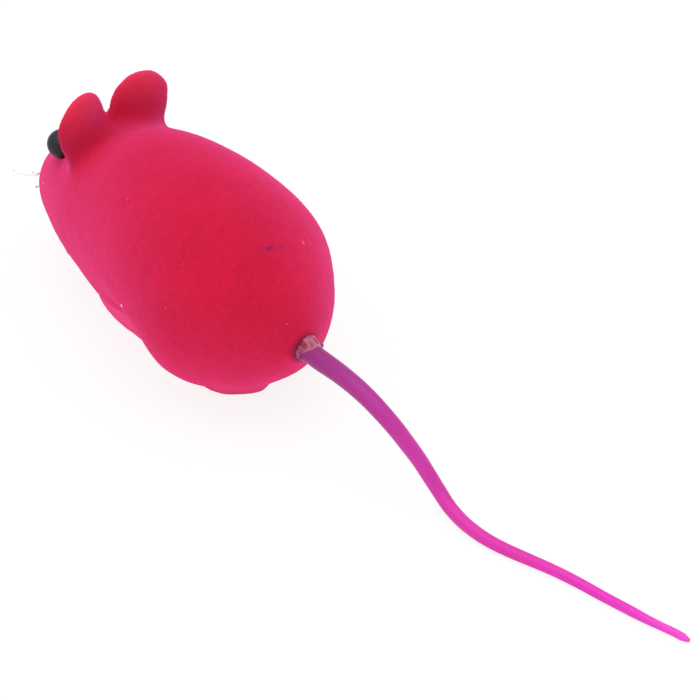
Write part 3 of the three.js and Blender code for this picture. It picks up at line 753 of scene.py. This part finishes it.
# Two dark strokes of dye in a faint trail: the line, width and strength of each
dye_strokes = (
    (((0.2, 22.12, 26.87), (-0.15, 22.16, 26.86), (-0.6, 22.16, 26.83)), 0.25, 0.95),
    (((-1.75, 22.49, 26.48), (-2.15, 22.56, 26.35)), 0.25, 0.7),
    (((1.4, 21.5, 27.1), (-0.4, 22.2, 26.8), (-3.1, 22.4, 26.2)), 0.45, 0.22),
)
smeared = np.max([
    strength * bell(line_distance(points, line), width) for line, width, strength in dye_strokes
], axis=0)
for name, values in (
    ("worn_and_lit", ear_rise), ("painted_ear_root_shade", painted_ear_root_shade), ("painted_floor_light", painted_floor_light), ("glue_soak_and_shade", glue_soak_and_shade), ("smeared", smeared),
):
    mark(shell_mesh, name, values)


def marked(nodes, name):
    """The value that the mesh's points hold under a name."""
    node = nodes.new("ShaderNodeAttribute")
    node.attribute_name = name
    return node.outputs["Fac"]


def combined(nodes, links, first, second, operation="MULTIPLY"):
    """One value worked out from two; each of first and second is a socket or a plain number."""
    node = nodes.new("ShaderNodeMath")
    node.operation = operation
    for socket, value in zip(node.inputs, (first, second)):
        feed(links, value, socket)
    return node.outputs[0]


def spot(nodes, links, where, centre, radius):
    """1 within 0.6 of a radius of a centre, falling to 0 at the radius; both in millimetres."""
    apart = nodes.new("ShaderNodeVectorMath")
    apart.operation = "DISTANCE"
    links.new(where, apart.inputs[0])
    apart.inputs[1].default_value = [0.001 * value for value in centre]
    return between(nodes, links, apart.outputs["Value"], 0.001 * radius, 0.0006 * radius)


flock, nodes, links, shader = new_material("crimson_flock")
where = nodes.new("ShaderNodeTexCoord").outputs["Object"]
tone = placed(
    nodes, links, tone_drift, where, Scale=120, First=plain(191, 14, 38), Second=plain(199, 16, 43),
)["Color"]
grain = placed(nodes, links, fine_grain, where, Scale=2600, Smooth=0.9, Rough=1.0, Depth=0.00004)
fibres = between(nodes, links, grain["Grain"], 0.3, 0.72)
fibres = blended(nodes, links, fibres, (0.9, 0.84, 0.87, 1), (1.05, 1.08, 1.07, 1))
tone = blended(nodes, links, 1.0, tone, fibres, "MULTIPLY")
tufts = between(nodes, links, noise(nodes, links, where, 900, 2, 0.6), 0.3, 0.7)
tufts = blended(nodes, links, tufts, (0.95, 0.9, 0.93, 1), (1.03, 1.06, 1.04, 1))
tone = blended(nodes, links, 1.0, tone, tufts, "MULTIPLY")
# Loose lint: one cell in six or so holds a pale speck, and one in six a dark one, each seen only where it
# meets the skin
lint_strength = 0.55
cells = nodes.new("ShaderNodeTexVoronoi")
give(cells, {"Scale": 437})
links.new(where, cells.inputs["Vector"])
chance = nodes.new("ShaderNodeSeparateColor")
links.new(cells.outputs["Color"], chance.inputs[0])
for channel, colour in ((0, plain(246, 120, 150)), (1, plain(120, 10, 34))):
    chosen = between(nodes, links, chance.outputs[channel], 0.8, 0.88)
    speck = between(nodes, links, cells.outputs["Distance"], 0.085, 0.05)
    lint = combined(nodes, links, combined(nodes, links, chosen, speck), lint_strength)
    tone = blended(nodes, links, lint, tone, colour)
# The ears' upper parts are lighter: partly worn flock, partly painted light
wear_and_light = between(nodes, links, marked(nodes, "worn_and_lit"), 0.1, 1.5)
tone = blended(nodes, links, wear_and_light, tone, plain(220, 52, 74))
# Painted shade at the ears' roots: a darker crimson
tone = blended(nodes, links, marked(nodes, "painted_ear_root_shade"), tone, plain(170, 14, 36))
# Painted light from the floor: the foot and faces turned down are painted a brighter pink
floor_light_tone = ramp(nodes, links, marked(nodes, "painted_floor_light"), [(0.4, plain(250, 40, 90)), (1.0, plain(252, 84, 142))])
tone = blended(nodes, links, marked(nodes, "painted_floor_light"), tone, floor_light_tone)
# Darker crimson round the tail's hole: partly glue-soaked flock, partly painted shade
soak_and_shade_mix = between(nodes, links, marked(nodes, "glue_soak_and_shade"), 0, 1.15)
tone = blended(nodes, links, soak_and_shade_mix, tone, plain(120, 14, 44))
patches = between(nodes, links, noise(nodes, links, where, 1300, 2, 0.6), 0.25, 0.5)
dye = combined(nodes, links, marked(nodes, "smeared"), patches)
tone = blended(nodes, links, dye, tone, plain(88, 14, 80))
for centre, radius, colour in (
    ((14.66, 7.88, 15.31), 0.3, plain(255, 220, 232)), ((6.79, -22.72, 14.61), 0.22, plain(255, 200, 216)),
    ((-5.93, 22.16, 25), 0.34, plain(206, 84, 106)),
):
    tone = blended(nodes, links, spot(nodes, links, where, centre, radius), tone, colour)
links.new(tone, shader.inputs["Base Color"])
take_grain(links, shader, grain)
give(shader, {
    "Specular IOR Level": 0.05, "Sheen Weight": 0.72, "Sheen Roughness": 0.65,
    "Sheen Tint": (1.0, 0.115, 0.45, 1),
})

body = piece(shell_mesh, flock)
body.data.set_sharp_from_angle(angle=np.radians(50))
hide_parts("body_shell")
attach(body, "mouse")


# Eyes: black plastic beads, each moulded with a peg that is pressed through the body wall and snaps
# behind it. Their satin surface has fine scuffs.
eye_radius = 2.1


def revolved(profile, sides):
    """Rings from a profile of radius and height, turned about the upright axis."""
    profile = np.asarray(profile, float)
    angle = np.linspace(0, 2 * np.pi, sides, endpoint=False)[None]
    radius, height = profile[:, :1], profile[:, 1:]
    return np.stack(np.broadcast_arrays(radius * np.cos(angle), radius * np.sin(angle), height), -1)


def eased(profile, reach, steps=5, wrapped=False):
    """The profile with each corner replaced by a short parabola that starts and ends at most reach away
    from it, and never past 0.45 of a side."""
    profile = np.asarray(profile, float)
    ends = []
    for other in (np.roll(profile, 1, 0), np.roll(profile, -1, 0)):
        gap = other - profile
        length = np.linalg.norm(gap, axis=1, keepdims=True)
        ends.append((profile + gap * np.minimum(0.45, reach / np.maximum(length, 1e-9)))[:, None])
    part = np.linspace(0, 1, steps)[None, :, None]
    arcs = (1 - part) ** 2 * ends[0] + 2 * part * (1 - part) * profile[:, None] + part ** 2 * ends[1]
    if not wrapped:
        arcs[0], arcs[-1] = profile[0], profile[-1]
    return arcs.reshape(-1, 2)


def swung(rings, seat, outward):
    """Rings moved from the upright axis to stand on a seat and point outwards."""
    axis = np.cross([0, 0, 1], outward)
    size = np.linalg.norm(axis)
    turn = Matrix.Rotation(np.arctan2(size, outward[2]), 3, (axis / size).tolist())
    return rings @ np.array(turn).T + seat


def moulded_plastic(name, first, second, drift, grain, smooth, rough, depth):
    """A plastic's material and its shader: faint flow marks between two colours, and a fine grain in the
    gloss and the normal. Drift and grain are the number of marks and of grains to a metre."""
    material, nodes, links, shader = new_material(name)
    where = nodes.new("ShaderNodeTexCoord").outputs["Object"]
    tone = placed(nodes, links, tone_drift, where, Scale=drift, First=first, Second=second)["Color"]
    links.new(tone, shader.inputs["Base Color"])
    take_grain(links, shader, placed(
        nodes, links, fine_grain, where, Scale=grain, Smooth=smooth, Rough=rough, Depth=depth,
    ))
    return material, shader


eye_plastic, shader = moulded_plastic(
    "black_bead_plastic", plain(14, 14, 16), plain(30, 30, 33),
    drift=420, grain=2600, smooth=0.4, rough=0.58, depth=0.000008,
)
give(shader, {"Specular IOR Level": 0.4})

bead_angle = np.linspace(-np.arcsin(eye_centre_height / eye_radius), np.pi / 2, 40)
dome = np.stack([eye_radius * np.cos(bead_angle), eye_centre_height + eye_radius * np.sin(bead_angle)], -1)
dome[-1, 0] = 0.002
peg = [[0.02, -3.3], [0.9, -3.3], [1.6, -2.37], [1.6, -1.9], [0.9, -1.9], [0.9, 0]]
for side, node in ((1, "eye_left"), (-1, "eye_right")):
    rings = swung(revolved(np.concatenate([eased(peg, 0.12), dome]), 72), *eye_seat(side))
    bead = piece(mesh_of(f"bead_{node}", skin(rings * 0.001)), eye_plastic)
    bead.data.set_sharp_from_angle(angle=np.radians(45))
    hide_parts(node)
    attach(bead, "mouse")


# Whiskers: three clear nylon strands pushed right through the snout, so that each shows on both sides.
# Only one is still long; the others have broken off short, and every end has a small melted bead.
strand_radius = 0.09
strand_bead_radius = 0.15
strand_stand_off = 0.4
strand_sides = 16
out_shares = np.array([0.16, 0.27, 0.17])
forward_shares = np.array([0.14, 0.5, 0.93])
drop_shares = np.array([0.02, 0.13, 0.33])

nylon, nodes, links, shader = new_material("clear_nylon")
where = nodes.new("ShaderNodeTexCoord").outputs["Object"]
tone = placed(
    nodes, links, tone_drift, where, Scale=900, First=plain(250, 250, 248), Second=plain(238, 236, 234),
)["Color"]
scorched = marked(nodes, "scorched")
links.new(blended(nodes, links, scorched, tone, plain(110, 96, 90)), shader.inputs["Base Color"])
take_grain(links, shader, placed(
    nodes, links, fine_grain, where, Scale=1800, Smooth=0.15, Rough=0.35, Depth=0.000004,
))
give(shader, {"Transmission Weight": 0.1, "IOR": 1.53})

for number, ((station, level), length) in enumerate(strand_rows):
    _, half_width, back, belly = outline(np.array(place_of(station / body_length + 0.5)))
    middle = belly + widest_share * (back - belly)
    rise = back - middle if level > middle else middle - belly
    exit_side = half_width * np.sqrt(1 - ((level - middle) / rise) ** 2) + strand_stand_off
    half = np.concatenate([[[exit_side / 2, station, level], [exit_side, station, level]], np.stack([
        exit_side + out_shares * length, station - forward_shares * length, level - drop_shares * length,
    ], -1)])
    route = np.concatenate([half[::-1] * (-1, 1, 1), half])
    path = evenly(through(route, np.linspace(0, 1, 1200)), 260)
    reach = travelled(path)
    from_end = np.minimum(reach, reach[-1] - reach)
    radii = strand_radius + (strand_bead_radius - strand_radius) * bell(from_end - 0.2, 0.2)
    radii = radii * np.sqrt(np.clip(from_end / 0.15, 0.05, 1))
    rings = tube(path, radii, np.array([0, 0, 1.0]), strand_sides)
    strand = piece(mesh_of(f"nylon_strand_{number + 1}", skin(rings * 0.001)), nylon)
    mark(strand.data, "scorched", np.concatenate([np.repeat(bell(from_end, 0.35), strand_sides), [1, 1]]))
    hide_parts(f"whisker_{number + 1}")
    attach(strand, "mouse")


# Glue: a smear of clear glue over the tail's root, dried to a crumpled film that has picked up the pink
# of the flock. It stands off the body above the tail, rides up on the tail in a straight lip and sticks
# out on the right in a dog-ear; underneath there is only a thin bead of it.
glue_edge_radii = np.array([1.62, 1.63, 1.72, 1.98, 2.1, 1.9, 2.0, 1.95, 1.85, 1.75, 1.68, 1.64])
glue_lip_reaches = np.array([0.7, 1.4, 2.0, 2.2, 2.1, 1.75, 1.6, 1.6, 1.5, 1.3, 0.9, 0.35])
glue_stand_offs = np.array([0.12, 0.16, 0.22, 0.22, 0.16, 0.12, 0.12, 0.1, 0.1, 0.1, 0.1, 0.1])
glue_lip_radius = 1.53
glue_thickness = 0.09
dog_ear_turn = np.radians(176)
dog_ear_reach = 0.6
glue_sides = 240


def rear_station(across, level):
    """The station at which the moulding's rear is met by a line along the body at the given place, found
    by halving the range of places: a point is inside while its oval radius is under one."""
    low, high = np.full(np.shape(across), 0.6), np.ones(np.shape(across))
    for _ in range(30):
        half = (low + high) / 2
        _, half_width, back, belly = outline(half)
        middle = belly + widest_share * (back - belly)
        rise = np.where(level > middle, back - middle, middle - belly)
        inside = np.hypot(across / np.maximum(half_width, 1e-6), (level - middle) / np.maximum(rise, 1e-6))
        inside = inside < 1
        low, high = np.where(inside, half, low), np.where(inside, high, half)
    return outline(low)[0]


turn = np.linspace(0, 2 * np.pi, glue_sides, endpoint=False)
edge_radius = round_loop(glue_edge_radii, glue_sides)
edge_radius = edge_radius + 0.06 * np.sin(11 * turn) + 0.04 * np.sin(19 * turn + 1)
lip_reach = round_loop(glue_lip_reaches, glue_sides) + 0.05 * np.sin(9 * turn + 2)
part = np.linspace(0, 1, 48)[:, None]
radius = glue_lip_radius + (edge_radius - glue_lip_radius) * (1 - part) ** 1.2
dog_ear = bell(turn - dog_ear_turn, 0.24) * bell(part - 0.7, 0.2)
radius = radius + dog_ear_reach * dog_ear
edge_station = rear_station(edge_radius * np.cos(turn), tail_axis_level + edge_radius * np.sin(turn))
edge_station = edge_station + collar(edge_radius) - 0.2 + round_loop(glue_stand_offs, glue_sides)
station = edge_station + (body_length / 2 + lip_reach - edge_station) * part ** 0.9
film = np.stack(np.broadcast_arrays(
    radius * np.cos(turn), station, tail_axis_level + radius * np.sin(turn)), -1)
outward = outward_of(film)
outward *= np.sign((outward * (film - (0, 28, tail_axis_level))).sum(-1, keepdims=True))
held = np.clip(4 * (1 - part) + 0.15, 0, 1) * np.clip(4 * part + 0.4, 0, 1)
crumple = 0.15 * (1 - 2 * np.abs(lumps(film * (1, 0.7, 1), 0.8, 21))) + 0.06 * lumps(film, 0.35, 22)
film = film + (np.maximum(crumple, -0.02) * held * (0.35 + 0.65 * (lip_reach > 0.7)))[..., None] * outward
film_rings = np.concatenate([film, (film - glue_thickness * outward)[::-1]])
# Painted shade and highlight: the folds are painted dark and the ridges light, the lip lightest and the
# dog-ear dark
painted_fold_light = np.clip(0.5 + 3 * crumple, 0, 1) + 0.5 * np.clip((part - 0.85) / 0.1, 0, 1) - 0.9 * dog_ear
over_tail = part * bell(np.angle(np.exp(1j * (turn - 0.2))), 0.7)

glue, nodes, links, shader = new_material("dried_glue_film")
where = nodes.new("ShaderNodeTexCoord").outputs["Object"]
tone = placed(
    nodes, links, tone_drift, where, Scale=900, First=(0.88, 0.84, 0.88, 1), Second=(1, 1, 1, 1),
)["Color"]
# Painted shade in the film's folds and painted highlight on its ridges and lip
fold_light_tone = ramp(nodes, links, marked(nodes, "painted_fold_light"), [
    (0.0, plain(126, 30, 58)), (0.5, plain(180, 72, 94)), (1.0, plain(212, 118, 152)),
])
fold_light_tone = blended(nodes, links, marked(nodes, "over_tail"), fold_light_tone, plain(168, 74, 128))
links.new(blended(nodes, links, 1.0, tone, fold_light_tone, "MULTIPLY"), shader.inputs["Base Color"])
take_grain(links, shader, placed(
    nodes, links, fine_grain, where, Scale=1500, Smooth=0.2, Rough=0.45, Depth=0.00006,
))
give(shader, {"Transmission Weight": 0.25, "IOR": 1.47})

glue_film = piece(mesh_of("glue_film", skin(film_rings * 0.001, wrapped=True)), glue)
for name, values in (("painted_fold_light", painted_fold_light), ("over_tail", over_tail)):
    mark(glue_film.data, name, np.concatenate([values, values[::-1]]))
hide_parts("tail_glue")
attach(glue_film, "mouse")


# Squeaker: a white polyethylene plug snapped into the hole in the base. Its tube holds a springy film
# reed, clamped between a grooved bed and a short wedge.
white_plastic, _ = moulded_plastic(
    "white_polyethylene", plain(238, 236, 230), plain(226, 224, 216),
    drift=240, grain=3000, smooth=0.38, rough=0.55, depth=0.00001,
)
reed_plastic, _ = moulded_plastic(
    "reed_film", plain(214, 210, 200), plain(196, 192, 180),
    drift=240, grain=3000, smooth=0.2, rough=0.35, depth=0.00001,
)
plug_profile = [
    [1.7, 0.3], [5.2, 0.3], [5.2, 1.1], [3.9, 1.1], [3.9, 3.3], [4.7, 3.3], [3.9, 4.6], [2.7, 4.6],
    [2.7, 10.6], [1.7, 10.6],
]
plug_rings = revolved(eased(plug_profile, 0.22, wrapped=True), 120) + (0, squeaker_station, 0)
plug = piece(mesh_of("squeaker_cap", skin(plug_rings * 0.001, wrapped=True)), white_plastic)
plug.data.set_sharp_from_angle(angle=np.radians(40))
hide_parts("squeaker_plug")
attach(plug, "mouse")
for node, material in (("reed_bed", white_plastic), ("reed_wedge", white_plastic), ("reed", reed_plastic)):
    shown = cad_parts[node]
    shown.data.materials.clear()
    shown.data.materials.append(material)


# Floor and light: a white sweep under a large soft sky and one broad lamp, as on a light table. What the
# eye, a gloss or a clear piece sees of the floor is mostly plain white, and the rest keeps the shadow.
floor_half_size = 3.0
floor_level = -0.00005
floor_white_share = 0.85
sky_strength = 0.77
lamp_strength = 1.45
lamp_spread = np.radians(70)
lamp_tilt = np.radians(7)
floor_material, nodes, links, shader = new_material("white_floor")
nodes.remove(shader)
output = next(node for node in nodes if node.type == "OUTPUT_MATERIAL")
matte = nodes.new("ShaderNodeBsdfDiffuse")
give(matte, {"Color": (0.98, 0.98, 0.98, 1)})
glow = nodes.new("ShaderNodeEmission")
give(glow, {"Color": (1, 1, 1, 1), "Strength": 1.0})
rays = nodes.new("ShaderNodeLightPath")
seen = rays.outputs["Is Camera Ray"]
for kind in ("Is Glossy Ray", "Is Transmission Ray"):
    seen = combined(nodes, links, seen, rays.outputs[kind], "MAXIMUM")
whitened = combined(nodes, links, seen, floor_white_share)
mixed = nodes.new("ShaderNodeMixShader")
for start, end in (
    (whitened, mixed.inputs[0]), (matte.outputs[0], mixed.inputs[1]),
    (glow.outputs[0], mixed.inputs[2]), (mixed.outputs[0], output.inputs[0]),
):
    links.new(start, end)
floor_mesh = bpy.data.meshes.new("floor")
corners = [(-1, -1), (1, -1), (1, 1), (-1, 1)]
floor_mesh.from_pydata(
    [(across * floor_half_size, along * floor_half_size, floor_level) for across, along in corners],
    [], [(0, 1, 2, 3)],
)
piece(floor_mesh, floor_material)

world = bpy.data.worlds.new("soft_sky")
bpy.context.scene.world = world
world.use_nodes = True
sky = world.node_tree.nodes["Background"]
give(sky, {"Color": (1, 1, 1, 1), "Strength": sky_strength})
lamp_data = bpy.data.lights.new("broad_lamp", "SUN")
lamp_data.energy = lamp_strength
lamp_data.angle = lamp_spread
lamp = bpy.data.objects.new("broad_lamp", lamp_data)
lamp.rotation_euler = (0, lamp_tilt, 0)
bpy.context.scene.collection.objects.link(lamp)
